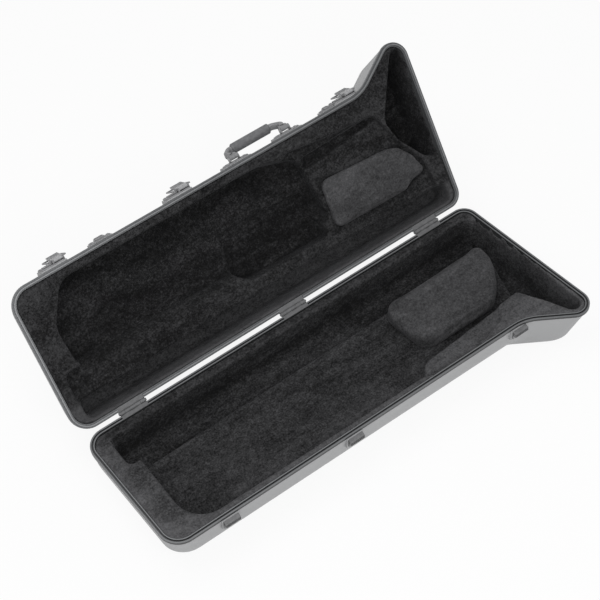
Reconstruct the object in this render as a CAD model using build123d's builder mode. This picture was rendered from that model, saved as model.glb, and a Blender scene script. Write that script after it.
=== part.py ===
from build123d import *
from math import cos, radians, sin, sqrt, tan
import os

os.makedirs("parts", exist_ok=True)

# A long hard carrying case, lying open. Two moulded plastic halves of one outline are
# hinged along the straight back side. X runs along the hinge side towards the flared end,
# Y points to the back, Z is up. The origin is on the flat underside of the base, below the
# middle of the straight body. All lengths are in millimetres.

# Outline of both halves, in (along, across): across runs from the hinge side to the latches
body_length = 900.0
body_width = 290.6
left_slant = 0.031
right_slant = 0.12
flare_start = 808.8
flare_angle = 32.3
radius_hinge_left = 38.8
radius_hinge_right = 31.0
radius_tip = 31.8
radius_flare = 85.0
radius_latch_left = 42.2

# Depth profile of one half: a drafted wall that rolls over into the flat face
case_depth = 115.0
side_draft = 7.5
side_round = 80.0
bell_draft = 7.5
bell_round = 32.0
hinge_draft = 1.5
hinge_round = 14.0
corner_growth = 0.3
base_wall = 3.5
lid_wall = 2.5

# Opening angle and hinge line
lid_angle = 136.4
hinge_setback = 4.55

# Rims, one along each half, with the seam between them
rim_width = 8.6
rim_height = 6.0
seam_gap = 0.15
groove_inset = 2.9
groove_width = 3.6
groove_depth = 3.3
tongue_clearance = 0.2
tongue_height = 2.9
tongue_taper = 0.5
rim_leg_height = 8.0
rim_leg_clearance = 0.5

# Hinges
hinge_width = 56.0
hinge_positions = [114.0, 479.5, 804.0]
leaf_thickness = 2.0
leaf_drop = 26.0
knuckle_radius = 4.0
knuckle_count = 5
knuckle_gap = 0.4
knuckle_clearance = 0.35
pin_radius = 1.6
pin_clearance = 0.05
pin_head_radius = 2.8
pin_head_thickness = 1.4
stop_gap = 0.15
stop_reach = 8.5

# Liners and the recesses in them
liner_gap = 0.5
ledge_drop = 2.0
base_liner_thickness = 9.0
lid_liner_thickness = 7.0
liner_skin = 4.0
recess_taper = 5.0
main_well_depth = 44.0
slide_channel_depth = 62.0
bell_well_depth = 90.0
lid_recess_depth = 52.0
lid_trough_depth = 64.0
lid_shelf_depth = 20.0
lid_panel_depth = 61.0
lid_groove_depth = 34.0
lid_bell_depth = 92.0
lid_slope_top = 92.0
lid_slope_bottom = 124.0
lid_slope_left = 72.0
lid_slope_right = 604.0
lid_pad_height = 14.0
base_front_shelf_depth = 12.0

# Flat seats moulded on the latch side
seat_proud = 2.5
plate_seat_proud = 0.8
seat_margin = 2.0

# Draw latches
latch_positions = [92.0, 366.0, 754.0]
latch_width = 50.0
latch_top = 7.0
latch_length = 36.0
latch_plate = 2.6
latch_step = 2.0
latch_step_inset = 5.0
latch_step_start = 8.5
latch_rivet_inset = 3.4
ear_thickness = 2.4
ear_radius = 3.2
ear_inner = 19.2
ear_centre = 38.0
lever_pivot_depth = 11.0
lever_pivot_height = 6.8
lever_barrel = 3.0
lever_width = 24.0
lever_length = 38.0
lever_lift = 8.2
lever_thickness = 2.8
lever_ridge_height = 1.1
lever_ridge_count = 4
lever_pin_radius = 1.3
bail_wire = 3.0
bail_left = 17.0
bail_right = 57.0
bail_pivot_offset = 8.0
bail_pivot_rise = 1.2
bail_length = 38.0
bail_bend = 4.0

# Keepers on the base
keeper_plate = 2.4
keeper_plate_height = 22.0
keeper_top = 7.0
keeper_block_width = 31.0
keeper_block_height = 6.6
keeper_hook_gap = 0.4
keeper_guide_width = 18.0
keeper_groove = 1.6
keeper_groove_count = 3

# Handle
handle_centre = 583.0
handle_pivot_span = 119.0
handle_pivot_height = 10.0
handle_pivot_depth = 22.0
handle_angle = 18.0
handle_reach = 35.0
handle_thickness = 10.0
handle_bow = 13.0
handle_eye_width = 17.0
handle_eye_radius = 5.0
grip_length = 88.0
grip_width = 21.0
grip_thickness = 16.0
handle_pin_radius = 2.0
bracket_length = 55.0
bracket_height = 30.0
bracket_plate = 2.4
bracket_ear = 2.2
bracket_ear_radius = 4.6
bracket_taper = 10.0

# Small ridged plates
small_plate_positions = [217.5, 737.0]
small_plate_lengths = [43.0, 27.0]
small_plate_height = 22.0
small_plate_thickness = 2.0
small_pad_lengths = [20.0, 12.5]
small_pad_rise = 3.4
small_pad_ridges = 3

# Rivets, feet and screws
rivet_radius = 1.6
rivet_head_radius = 3.1
rivet_head_height = 1.3
foot_positions = [205.0, 700.0]
foot_width = 44.0
foot_reach = 11.0
foot_height = 26.0
foot_underlap = 8.0
foot_screw_radius = 1.8
foot_screw_head = 3.6
foot_screw_seat = 3.0

# Plush block that stands beside the flared well
block_length = 246.0
block_width = 118.0
block_left = 616.0
block_near = 92.0
block_top = 9.0
block_crown = 4.0
block_clearance = 0.3


# Frames of the two halves. Every feature is placed by (along, across, depth): depth runs
# from the seam plane into the half, so one set of numbers serves the base and the lid.
turn = radians(lid_angle)
hinge_side = body_width / 2
half_length = body_length / 2


class Half:
    """One half of the case: where its frame lies and how thick its wall is."""

    def __init__(self, name, across, inward, origin, hand, wall):
        self.name = name
        self.across = Vector(*across)
        self.inward = Vector(*inward)
        self.origin = Vector(*origin)
        self.hand = hand
        self.wall = wall

    def point(self, along, across, depth):
        """The place of a point of this half in the frame of the whole case."""
        return self.origin + Vector(along, 0, 0) + self.across * across + self.inward * depth

    def level(self, depth):
        """Plane parallel to the seam, at this depth, with axes along and across."""
        normal = self.inward * self.hand
        return Plane(self.point(0, 0, depth), x_dir=(1, 0, 0), z_dir=tuple(normal))

    def section(self, along):
        """Plane square to the hinge side, with axes across and depth."""
        normal = (self.hand, 0, 0)
        return Plane(self.point(along, 0, 0), x_dir=tuple(self.across), z_dir=normal)

    def face(self, along, across, depth):
        """Plane of the latch side, with axes along and depth."""
        normal = self.across * -self.hand
        return Plane(self.point(along, across, depth), x_dir=(1, 0, 0), z_dir=tuple(normal))


base = Half(
    "base",
    (0, -1, 0),
    (0, 0, -1),
    (-half_length, hinge_side, case_depth),
    1,
    base_wall,
)
lid = Half(
    "lid",
    (0, -cos(turn), sin(turn)),
    (0, sin(turn), cos(turn)),
    (-half_length, hinge_side + hinge_setback * (1 - cos(turn)), case_depth + hinge_setback * sin(turn)),
    -1,
    lid_wall,
)


# Outline and depth profile
def outline_corners(side, hinge, bell):
    """Sharp corners of the outline, each side moved inwards by its own distance."""
    left_stretch = sqrt(1 + left_slant**2)
    right_stretch = sqrt(1 + right_slant**2)
    run = cos(radians(flare_angle))
    rise = sin(radians(flare_angle))
    front = body_width - side
    flare_along = flare_start + bell * rise
    flare_across = body_width - bell * run
    to_front = (front - flare_across) / rise
    right_end = body_length - bell * right_stretch + right_slant * flare_across
    to_tip = (right_end - flare_along) / (run - right_slant * rise)
    return [
        (left_slant * hinge + side * left_stretch, hinge),
        (body_length + right_slant * hinge - bell * right_stretch, hinge),
        (flare_along + to_tip * run, flare_across + to_tip * rise),
        (flare_along + to_front * run, front),
        (left_slant * front + side * left_stretch, front),
    ]


corner_radii = [
    radius_hinge_left,
    radius_hinge_right,
    radius_tip,
    radius_flare,
    radius_latch_left,
]


def parallel_outline(inset):
    """Corners and radii of the outline drawn in by the same distance all round."""
    radii = [r - inset for r in corner_radii]
    radii[3] = radius_flare + inset
    return outline_corners(inset, inset, inset), radii


def wall_inset(depth, draft, rounding, wall):
    """How far a wall stands in from the outline at a depth, for its outer or inner face."""
    slope = radians(draft)
    centre = case_depth - rounding
    centre_inset = (centre + rounding * sin(slope)) * tan(slope) + rounding * cos(slope)
    radius = rounding - wall
    if depth <= centre + radius * sin(slope):
        return depth * tan(slope) + wall / cos(slope)
    return centre_inset - sqrt(max(radius**2 - (depth - centre) ** 2, 0.0))


def moulded_outline(depth, wall):
    """Corners and radii of the moulding's section at a depth, at this distance inside it."""
    profiles = [
        (side_draft, side_round),
        (hinge_draft, hinge_round),
        (bell_draft, bell_round),
    ]
    outer = [wall_inset(depth, d, r, 0.0) for d, r in profiles]
    inner = [wall_inset(depth, d, r, wall) for d, r in profiles]
    side, hinge, bell = (i - o for i, o in zip(inner, outer))
    grown = [outer[0], outer[1], outer[2], outer[0], outer[0]]
    drawn = [side, hinge, bell, 0.0, side]
    radii = [r + corner_growth * g - s for r, g, s in zip(corner_radii, grown, drawn)]
    return outline_corners(*inner), radii


def moulding_levels(top, wall):
    """Depths of the sections of a moulding, closer together where the wall rolls over."""
    bottom = case_depth - wall
    steps = [0.15, 0.3, 0.44, 0.57, 0.68, 0.78, 0.87]
    return [top] + [top + (bottom - top) * s for s in steps] + [bottom - 8, bottom - 3.5, bottom - 1, bottom]


def moulding(half, top, wall):
    """Solid that fills a half up to this distance inside its outer face."""
    with BuildPart() as body:
        for depth in moulding_levels(top, wall):
            corners, radii = moulded_outline(depth, wall)
            with BuildSketch(half.level(depth)):
                with BuildLine():
                    FilletPolyline(*corners, radius=radii, close=True)
                make_face()
        loft()
    return body.part


def rim_ring(half, outer, inner, top, bottom):
    """Flat band that follows the outline between two insets and two depths."""
    with BuildPart() as ring:
        for inset, mode in ((outer, Mode.ADD), (inner, Mode.SUBTRACT)):
            corners, radii = parallel_outline(inset)
            with BuildSketch(half.level(top)):
                with BuildLine():
                    FilletPolyline(*corners, radius=radii, close=True)
                make_face()
            extrude(amount=half.hand * (bottom - top), mode=mode)
    return ring.part


def flat_seat(half, along, width, proud, top, bottom):
    """Moulded flat on the latch side that squares up the drafted wall."""
    bite = half.wall / 2
    foot = bottom + proud + wall_inset(bottom, side_draft, side_round, 0.0)
    with BuildPart() as seat:
        with BuildSketch(half.section(along)):
            with BuildLine():
                Polyline(
                    (body_width + proud, top),
                    (body_width + proud, bottom),
                    (body_width - wall_inset(foot, side_draft, side_round, 0.0) - bite, foot),
                    (body_width - wall_inset(top, side_draft, side_round, 0.0) - bite, top),
                    close=True,
                )
            make_face()
        extrude(amount=width / 2, both=True)
    return seat.part


def block_at(half, along, across, depth, size_along, size_across, size_depth):
    """Plain block set by its middle along, its near face across and its top depth."""
    with BuildPart() as block:
        with BuildSketch(half.section(along)):
            with Locations((across + size_across / 2, depth + size_depth / 2)):
                Rectangle(size_across, size_depth)
        extrude(amount=size_along / 2, both=True)
    return block.part


# Where rivets go: (half, along, across of the surface they sit on, depth, direction)
front_rivets = {"base": [], "lid": []}
back_rivets = {"base": [], "lid": []}

latch_middle = latch_width / 2
latch_seat_bottom = latch_top + latch_length + seat_margin
keeper_middle = (bail_left + bail_right) / 2
keeper_width = keeper_block_width + 2.0
latch_face = body_width + seat_proud
bracket_face = body_width + plate_seat_proud
bracket_top = handle_pivot_depth - bracket_height / 2
small_plate_top = 9.0

for start in latch_positions:
    for along in (latch_rivet_inset, latch_width - latch_rivet_inset):
        for depth in (latch_top + 11, latch_top + latch_length - 6):
            front_rivets["lid"].append((start + along, latch_face + latch_plate, depth))
    for along in (-keeper_width / 2 + 3.2, keeper_width / 2 - 3.2):
        depth = keeper_top + keeper_plate_height - 4.2
        front_rivets["base"].append((start + keeper_middle + along, latch_face + keeper_plate, depth))
for sign in (-1, 1):
    middle = handle_centre + sign * handle_pivot_span / 2
    for along in (-bracket_length / 2 + 7, bracket_length / 2 - 7):
        front_rivets["lid"].append((middle + along, bracket_face + bracket_plate, handle_pivot_depth))
for middle, length in zip(small_plate_positions, small_plate_lengths):
    for along in (-length / 2 + 3.6, length / 2 - 3.6):
        depth = small_plate_top + small_plate_height / 2
        front_rivets["lid"].append((middle + along, bracket_face + small_plate_thickness, depth))
for middle in hinge_positions:
    for along in (-hinge_width / 2 + 11, hinge_width / 2 - 11):
        for name in ("base", "lid"):
            back_rivets[name].append((middle + along, -seam_gap - leaf_thickness, leaf_drop - 7))


def rivet_cores(half, low=-body_length, high=2 * body_length, back=None):
    """Straight cores of the rivets of a half between two places along it."""
    places = []
    if back is not True:
        places += [(p, side_draft, 1) for p in front_rivets[half.name]]
    if back is not False:
        places += [(p, hinge_draft, -1) for p in back_rivets[half.name]]
    cores = []
    for (along, across, depth), draft, way in places:
        if not low < along < high:
            continue
        edge = body_width if way == 1 else 0.0
        length = way * (across - edge) + depth * tan(radians(draft)) + half.wall
        with BuildPart() as core:
            with BuildSketch(half.face(along, across, depth)):
                Circle(rivet_radius)
            extrude(amount=way * half.hand * length)
        cores.append(core.part)
    return cores


def foot_screw_shanks(half, low=-body_length, high=2 * body_length):
    """Shanks of the foot screws of a half between two places along it."""
    depth = case_depth - foot_height / 2
    end = wall_inset(depth, hinge_draft, hinge_round, half.wall)
    shanks = []
    for middle in foot_positions:
        for side in (-1, 1):
            along = middle + side * foot_width / 4
            if not low < along < high:
                continue
            with BuildPart() as shank:
                with BuildSketch(half.face(along, foot_screw_seat - foot_reach, depth)):
                    Circle(foot_screw_radius)
                extrude(amount=-half.hand * (end + foot_reach - foot_screw_seat))
            shanks.append(shank.part)
    return shanks


# Shells
base_form = moulding(base, rim_height, 0.0)
lid_form = moulding(lid, rim_height, 0.0)


def make_shell(half, outer):
    """Hollow moulding of one half, with flat seats and rivet holes."""
    inner = moulding(half, rim_height, half.wall)
    with BuildPart() as shell:
        add(outer)
        if half.name == "lid":
            for start in latch_positions:
                width = latch_width + 2 * seat_margin
                add(flat_seat(half, start + latch_middle, width, seat_proud, rim_height, latch_seat_bottom))
            for sign in (-1, 1):
                middle = handle_centre + sign * handle_pivot_span / 2
                bottom = bracket_top + bracket_height + seat_margin
                width = bracket_length + 2 * seat_margin
                add(flat_seat(half, middle, width, plate_seat_proud, rim_height, bottom))
            for middle, length in zip(small_plate_positions, small_plate_lengths):
                bottom = small_plate_top + small_plate_height + seat_margin
                add(flat_seat(half, middle, length + 2 * seat_margin, plate_seat_proud, rim_height, bottom))
        else:
            for start in latch_positions:
                bottom = keeper_top + keeper_plate_height + seat_margin
                width = keeper_width + 2 * seat_margin
                add(flat_seat(half, start + keeper_middle, width, seat_proud, rim_height, bottom))
        add(inner, mode=Mode.SUBTRACT)
        for core in rivet_cores(half) + foot_screw_shanks(half):
            add(core, mode=Mode.SUBTRACT)
    return shell.part


base_shell = make_shell(base, base_form)
base_shell.label = "base_shell"
lid_shell = make_shell(lid, lid_form)
lid_shell.label = "lid_shell"


# Rims: a channel section with a leg inside the wall. The hinge leaves lie in notches.
def rim_leg(half):
    """Leg of a rim, clear of the inner face of the wall all the way down."""
    bottom = rim_height + rim_leg_height
    outer = moulded_outline(bottom, half.wall + rim_leg_clearance)
    inner = parallel_outline(rim_width)
    with BuildPart() as leg:
        for (corners, radii), mode in ((outer, Mode.ADD), (inner, Mode.SUBTRACT)):
            with BuildSketch(half.level(rim_height - 1)):
                with BuildLine():
                    FilletPolyline(*corners, radius=radii, close=True)
                make_face()
            extrude(amount=half.hand * (rim_leg_height + 1), mode=mode)
    return leg.part


def notch(half, middle):
    """Room in a rim for the two flanges of a hinge leaf."""
    width = hinge_width + 2 * tongue_clearance
    depth = seam_gap + leaf_thickness
    return block_at(half, middle, -rim_width, -tongue_height - 1, width, 2 * rim_width + 1, tongue_height + 1 + depth)


with BuildPart() as base_rim:
    add(rim_ring(base, 0.0, rim_width, seam_gap, rim_height))
    add(rim_leg(base))
    add(
        rim_ring(base, groove_inset, groove_inset + groove_width, seam_gap, seam_gap + groove_depth),
        mode=Mode.SUBTRACT,
    )
    for middle in hinge_positions:
        add(notch(base, middle), mode=Mode.SUBTRACT)
base_rim.part.label = "base_rim"

tongue_outer = groove_inset + tongue_clearance
tongue_inner = groove_inset + groove_width - tongue_clearance


def tongue_edge(inset, taper):
    """Solid inside the outline whose edge tapers along the tongue."""
    with BuildPart() as body:
        for depth, more in ((seam_gap, 0.0), (-tongue_height, taper)):
            corners, radii = parallel_outline(inset + more)
            with BuildSketch(lid.level(depth)):
                with BuildLine():
                    FilletPolyline(*corners, radius=radii, close=True)
                make_face()
        loft(ruled=True)
    return body.part


with BuildPart() as tongue:
    add(tongue_edge(tongue_outer, tongue_taper))
    add(tongue_edge(tongue_inner, -tongue_taper), mode=Mode.SUBTRACT)

with BuildPart() as lid_rim:
    add(rim_ring(lid, 0.0, rim_width, seam_gap, rim_height))
    add(rim_leg(lid))
    add(tongue.part)
    for middle in hinge_positions:
        add(notch(lid, middle), mode=Mode.SUBTRACT)
lid_rim.part.label = "lid_rim"


# Liners: a ledge round the rim with recesses sunk from it, each with its own jacket of foam
base_recesses = [
    # (corners, corner radii, depth)
    ([(42, 26), (886, 26), (886, 90), (42, 97)], [14, 20, 14, 14], slide_channel_depth),
    (
        [(66, 60), (884, 60), (880, 120), (864, 165), (850, 226), (604, 244), (586, 271), (68, 268)],
        [8, 8, 20, 20, 14, 18, 16, 58],
        main_well_depth,
    ),
    (
        [(872, 40), (896, 40), (924, 338), (893, 322), (868, 272), (840, 226), (856, 159), (868, 119)],
        [9, 9, 14, 12, 40, 14, 30, 30],
        bell_well_depth,
    ),
    (
        [(578, 222), (800, 218), (778, 258), (705, 280), (600, 281), (580, 270)],
        [12, 10, 24, 30, 12, 10],
        base_front_shelf_depth,
    ),
]
lid_recesses = [
    ([(34, 14), (884, 14), (884, 52), (32, 54)], [14, 18, 12, 14], lid_trough_depth),
    (
        [(30, 46), (868, 46), (868, 82), (622, 86), (622, 108), (34, 112)],
        [12, 12, 12, 10, 8, 14],
        lid_shelf_depth,
    ),
    (
        [(66, 112), (644, 98), (640, 240), (560, 264), (112, 266), (62, 190)],
        [10, 14, 30, 60, 46, 60],
        lid_recess_depth,
    ),
    (
        [(413, 100), (440, 76), (626, 74), (634, 178), (508, 189), (427, 187)],
        [14, 22, 12, 24, 20, 7],
        lid_panel_depth,
    ),
    (
        [(600, 72), (868, 70), (869, 100), (857, 132), (838, 162), (822, 216), (812, 240), (700, 248), (600, 262)],
        [8, 10, 30, 20, 20, 20, 16, 50, 20],
        lid_shelf_depth,
    ),
    ([(636, 206), (806, 224), (812, 240), (640, 236)], [9, 5, 5, 9], lid_groove_depth),
    (
        [(908, 98), (929, 340), (903, 324), (858, 259), (828, 215), (839, 169), (874, 116)],
        [12, 11, 13, 40, 34, 40, 20],
        lid_bell_depth,
    ),
]


def pocket(half, corners, radii, depth, grow, top):
    """Tapered pocket of a liner, or its jacket when grown by the liner's thickness."""
    with BuildPart() as body:
        with BuildSketch(half.level(top)):
            with BuildLine():
                FilletPolyline(*corners, radius=radii, close=True)
            make_face()
            if grow:
                offset(amount=grow)
        extrude(amount=half.hand * (depth + grow - top), taper=recess_taper)
    return body.part


def lid_slope(grow):
    """Slope from the ridge of the lid down to its recess, or the jacket under it."""
    with BuildPart() as body:
        with BuildSketch(lid.section((lid_slope_left + lid_slope_right) / 2)):
            with BuildLine():
                Polyline(
                    (lid_slope_top, lid_shelf_depth - 1),
                    (lid_slope_bottom, lid_recess_depth - 1),
                    (lid_slope_bottom + 20, lid_recess_depth - 1),
                    (lid_slope_bottom + 20, ledge_drop),
                    (lid_slope_top, ledge_drop),
                    close=True,
                )
            make_face()
            if grow:
                offset(amount=grow)
        extrude(amount=(lid_slope_right - lid_slope_left) / 2 + grow, both=True)
    return body.part


def make_liner(half, recesses, thickness):
    """Moulded foam liner: ledge, jackets and recesses, kept inside the shell and the rim."""
    with BuildPart() as room:
        for recess in recesses:
            add(pocket(half, *recess, 0.0, ledge_drop))
        if half.name == "lid":
            add(lid_slope(0.0))
        add(moulding(half, ledge_drop, half.wall + liner_gap + liner_skin), mode=Mode.INTERSECT)
    corners, radii = parallel_outline(rim_width + liner_gap)
    with BuildPart() as body:
        with BuildSketch(half.level(ledge_drop)):
            with BuildLine():
                FilletPolyline(*corners, radius=radii, close=True)
            make_face()
        extrude(amount=half.hand * thickness)
        for recess in recesses:
            add(pocket(half, *recess, thickness, ledge_drop))
        if half.name == "lid":
            add(lid_slope(thickness))
        add(moulding(half, ledge_drop, half.wall + liner_gap), mode=Mode.INTERSECT)
        add(room.part, mode=Mode.SUBTRACT)
        leg_end = rim_height + rim_leg_height + liner_gap
        add(rim_ring(half, 0.0, rim_width + liner_gap, ledge_drop - 1, leg_end), mode=Mode.SUBTRACT)
    return body.part


base_liner = make_liner(base, base_recesses, base_liner_thickness)
base_liner.label = "base_liner"
lid_liner = make_liner(lid, lid_recesses, lid_liner_thickness)
lid_liner.label = "lid_liner"

# Plush pads: the block in the base and the flat pad in the lid
with BuildPart() as base_block:
    with BuildSketch(base.level(main_well_depth - block_clearance)):
        with BuildLine():
            FilletPolyline(
                (block_left, block_near),
                (block_left + block_length, block_near - 6),
                (block_left + block_length, block_near + 34),
                (block_left + block_length - 20, block_near + 76),
                (block_left + block_length - 60, block_near + block_width),
                (block_left + 16, block_near + block_width),
                radius=[26, 16, 40, 40, 20, 30],
                close=True,
            )
        make_face()
    extrude(amount=block_top - main_well_depth + block_clearance, taper=2)
    crown = base_block.faces().sort_by(Axis.Z)[-1].edges()
    fillet(crown, block_crown)
base_block.part.label = "base_block"

with BuildPart() as lid_pad:
    with BuildSketch(lid.level(lid_shelf_depth - block_clearance)):
        with BuildLine():
            FilletPolyline(
                (640, 80),
                (808, 76),
                (826, 87),
                (864, 92),
                (852, 132),
                (832, 158),
                (806, 167),
                (652, 177),
                radius=[14, 8, 8, 9, 24, 20, 20, 18],
                close=True,
            )
        make_face()
    extrude(amount=lid_pad_height, taper=2)
    crown = lid_pad.faces().sort_by(Axis((0, 0, 0), tuple(-lid.inward)))[-1].edges()
    fillet(crown, block_crown)
lid_pad.part.label = "lid_pad"


# Hinges: two leaves with interleaved knuckles on one pin
knuckle_pitch = hinge_width / knuckle_count


def knuckle_plane(half, middle, index):
    """Section plane through the middle of one knuckle."""
    return half.section(middle + (index - (knuckle_count - 1) / 2) * knuckle_pitch)


def hinge_leaf(half, middle, own):
    """One leaf: a flange over the rim, a flange down the back and its own knuckles."""
    others = [i for i in range(knuckle_count) if i not in own]
    top = seam_gap + leaf_thickness
    heel_angle = 180 - lid_angle
    with BuildPart() as leaf:
        with BuildSketch(half.section(middle)):
            with BuildLine():
                Polyline(
                    (-hinge_setback, seam_gap),
                    (rim_width, seam_gap),
                    (rim_width, top),
                    (-seam_gap, top),
                    (-seam_gap, leaf_drop),
                    (-top, leaf_drop),
                    (-top, top),
                    (-hinge_setback, top),
                    close=True,
                )
            make_face()
        extrude(amount=hinge_width / 2, both=True)
        for index in others:
            with BuildSketch(knuckle_plane(half, middle, index)):
                with Locations((-hinge_setback, 0)):
                    Circle(knuckle_radius + knuckle_clearance)
            extrude(amount=(knuckle_pitch + knuckle_gap) / 2, both=True, mode=Mode.SUBTRACT)
        for index in own:
            with BuildSketch(knuckle_plane(half, middle, index)):
                with Locations((-hinge_setback, 0)):
                    Circle(knuckle_radius)
                if half.name == "lid":
                    # heel that meets the back of the base leaf when the lid lies open
                    reach = hinge_setback - top - stop_gap
                    stop = Vector(-reach, stop_reach).rotate(Axis.Z, heel_angle)
                    start = Vector(-reach, knuckle_radius / 2).rotate(Axis.Z, heel_angle)
                    with BuildLine():
                        Polyline(
                            (-hinge_setback, 0),
                            (-hinge_setback + start.X, start.Y),
                            (-hinge_setback + stop.X, stop.Y),
                            (-top + leaf_thickness / 2, stop_reach),
                            (-top + leaf_thickness / 2, 0),
                            close=True,
                        )
                    make_face()
            extrude(amount=(knuckle_pitch - knuckle_gap) / 2, both=True)
        with BuildSketch(half.section(middle)):
            with Locations((-hinge_setback, 0)):
                Circle(pin_radius + pin_clearance)
        extrude(amount=hinge_width, both=True, mode=Mode.SUBTRACT)
        for core in rivet_cores(half, middle - hinge_width / 2, middle + hinge_width / 2, back=True):
            add(core, mode=Mode.SUBTRACT)
    return leaf.part


base_knuckles = [i for i in range(knuckle_count) if i % 2 == 0]
lid_knuckles = [i for i in range(knuckle_count) if i % 2 == 1]
finished = [base_shell, lid_shell, base_rim.part, lid_rim.part]
finished += [base_liner, lid_liner, base_block.part, lid_pad.part]

for number, middle in enumerate(hinge_positions, 1):
    base_leaf = hinge_leaf(base, middle, base_knuckles)
    base_leaf.label = f"hinge_leaf_base_{number}"
    lid_leaf = hinge_leaf(lid, middle, lid_knuckles)
    lid_leaf.label = f"hinge_leaf_lid_{number}"
    with BuildPart() as hinge_pin:
        with BuildSketch(base.section(middle)):
            with Locations((-hinge_setback, 0)):
                Circle(pin_radius)
        extrude(amount=hinge_width / 2 + knuckle_gap, both=True)
        for sign in (-1, 1):
            with BuildSketch(base.section(middle + sign * (hinge_width / 2 + knuckle_gap / 2))):
                with Locations((-hinge_setback, 0)):
                    Circle(pin_head_radius)
            extrude(amount=sign * pin_head_thickness, taper=12)
    hinge_pin.part.label = f"hinge_pin_{number}"
    finished += [base_leaf, lid_leaf, hinge_pin.part]


# Draw latches. Heights are measured outwards from the flat seat, depths from the seam.
lever_pivot = (latch_face + lever_pivot_height, lever_pivot_depth)
bail_pivot = (lever_pivot[0] + bail_pivot_rise, lever_pivot_depth + bail_pivot_offset)
ear_span = ear_inner + 2 * ear_thickness
lever_tip = (lever_pivot[0] + lever_lift, lever_pivot_depth + lever_length)


def latch_plate_part(start):
    """Stepped plate with two ears that carry the lever pin."""
    with BuildPart() as plate:
        with BuildSketch(lid.face(start + latch_width / 2, latch_face, latch_top + latch_length / 2)):
            RectangleRounded(latch_width, latch_length, 3)
        extrude(amount=latch_plate)
        step_length = latch_length - latch_step_start - latch_step_inset
        step_middle = latch_top + latch_step_start + step_length / 2
        with BuildSketch(lid.face(start + latch_width / 2, latch_face + latch_plate, step_middle)):
            RectangleRounded(latch_width - 2 * latch_step_inset - 4, step_length, 2)
        extrude(amount=latch_step, taper=10)
        for sign in (-1, 1):
            middle = start + ear_centre + sign * (ear_inner + ear_thickness) / 2
            with BuildSketch(lid.section(middle)):
                with Locations(lever_pivot):
                    Circle(ear_radius)
                with Locations((latch_face + lever_pivot_height / 2, lever_pivot_depth)):
                    Rectangle(lever_pivot_height, 2 * ear_radius)
            extrude(amount=ear_thickness / 2, both=True)
        with BuildSketch(lid.section(start + ear_centre)):
            with Locations(lever_pivot):
                Circle(lever_pin_radius)
        extrude(amount=latch_width, both=True, mode=Mode.SUBTRACT)
        for core in rivet_cores(lid, start, start + latch_width, back=False):
            add(core, mode=Mode.SUBTRACT)
    return plate.part


def latch_lever_part(start):
    """Ridged lever: a barrel between the ears that widens into the cover."""
    barrel = ear_inner - 2 * knuckle_gap
    top, depth = lever_pivot
    shoulder = depth + ear_radius + knuckle_gap
    with BuildPart() as lever:
        with BuildSketch(lid.section(start + ear_centre)):
            with Locations(lever_pivot):
                Circle(lever_barrel)
            with BuildLine():
                Polyline(
                    (top - 1.0, depth),
                    (top - 1.0, shoulder + 2),
                    (top + lever_barrel + 0.4, shoulder + 2),
                    (top + lever_barrel - 0.2, depth),
                    close=True,
                )
            make_face()
        extrude(amount=barrel / 2, both=True)
        with BuildSketch(lid.section(start + ear_centre)):
            with BuildLine():
                Polyline(
                    (top - 1.6, shoulder),
                    (top + lever_barrel, shoulder),
                    lever_tip,
                    (lever_tip[0] - lever_thickness * 0.7, lever_tip[1] + lever_thickness * 0.5),
                    (lever_tip[0] - lever_thickness - 1.2, lever_tip[1] - 2),
                    (bail_pivot[0] - bail_wire / 2 + 0.6, bail_pivot[1] + bail_wire + 2),
                    (top - 1.6, bail_pivot[1] + bail_wire),
                    close=True,
                )
            make_face()
        extrude(amount=lever_width / 2, both=True)
        ridge_line = Vector(lever_tip[0] - top - lever_barrel, lever_tip[1] - shoulder)
        for index in range(lever_ridge_count):
            share = 0.42 + 0.15 * index
            at = Vector(top + lever_barrel, shoulder) + ridge_line * share
            with BuildSketch(lid.section(start + ear_centre)):
                with Locations((at.X - 0.2, at.Y)):
                    Circle(lever_ridge_height)
            extrude(amount=lever_width / 2 - 1, both=True)
        with BuildSketch(lid.section(start + ear_centre)):
            with Locations(lever_pivot):
                Circle(lever_pin_radius + pin_clearance)
            with Locations(bail_pivot):
                Circle(bail_wire / 2 + pin_clearance)
        extrude(amount=latch_width, both=True, mode=Mode.SUBTRACT)
    return lever.part


def latch_bail_part(start):
    """Wire loop round the lever whose two ends turn into the lever's sides."""
    left = start + bail_left
    right = start + bail_right
    plane = lid.face(0, bail_pivot[0], 0)
    near = bail_pivot[1]
    far = near + bail_length
    inner_left = start + ear_centre - lever_width / 2 + 3
    inner_right = start + ear_centre + lever_width / 2 - 3
    with BuildPart() as bail:
        with BuildLine(plane) as path:
            FilletPolyline(
                (inner_left, near),
                (left, near),
                (left, far),
                (right, far),
                (right, near),
                (inner_right, near),
                radius=bail_bend,
            )
        with BuildSketch(lid.section(inner_left)):
            with Locations(bail_pivot):
                Circle(bail_wire / 2)
        sweep(path=path.wires()[0])
    return bail.part


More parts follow.
